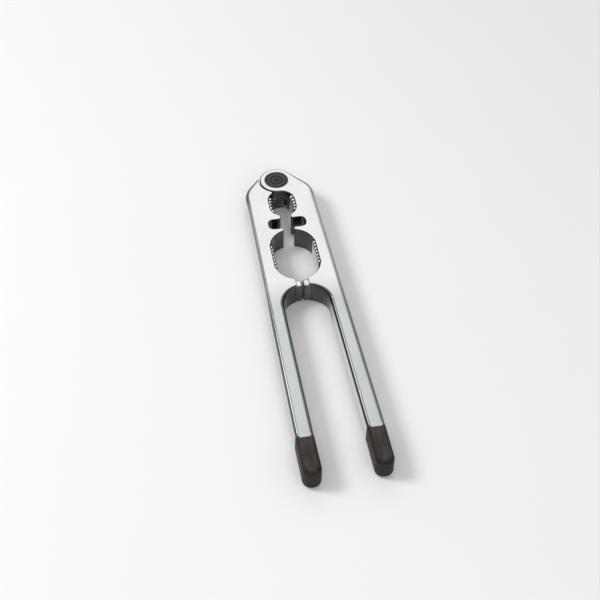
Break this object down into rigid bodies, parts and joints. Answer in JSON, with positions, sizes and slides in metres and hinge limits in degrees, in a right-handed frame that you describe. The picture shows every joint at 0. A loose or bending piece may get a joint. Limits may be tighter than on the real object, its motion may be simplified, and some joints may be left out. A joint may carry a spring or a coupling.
{
  "type": "lever nutcracker",
  "caption": "Cast hinged levers with a large and a small toothed nut pocket, a cross slot between them, stop noses and slim handles with plastic tips.",
  "frame": {"origin": "the pivot axis, where it meets the back face that the tool rests on", "axes": "+Y from the handles to the pivot end, +Z out of the front face along the pivot axis, +X to the right lever"},
  "size_m": [0.0388, 0.1849, 0.012],
  "materials": {
    "cast_metal": "satin chromed zinc casting",
    "jaw_steel": "bright machined",
    "rivet_steel": "turned",
    "cap_plastic": "satin with turned rings",
    "tip_plastic": "soft matte"
  },
  "bodies": {
    "left_side": {"left_lever": "cast_metal", "left_walnut_jaw": "jaw_steel", "left_hazelnut_jaw": "jaw_steel", "left_grip_tip": "tip_plastic", "rear_cap": "cap_plastic", "pivot_rivet": "rivet_steel", "rivet_washer": "rivet_steel", "lap_washer": "rivet_steel"},
    "right_side": {"right_lever": "cast_metal", "right_walnut_jaw": "jaw_steel", "right_hazelnut_jaw": "jaw_steel", "right_grip_tip": "tip_plastic", "front_cap": "cap_plastic"}
  },
  "joints": [
    {"name": "lever_pivot", "type": "hinge", "parent": "left_side", "child": "right_side", "pos_m": [0, 0, 0], "axis": [0, 0, 1], "range_deg": [0, 130]}
  ]
}
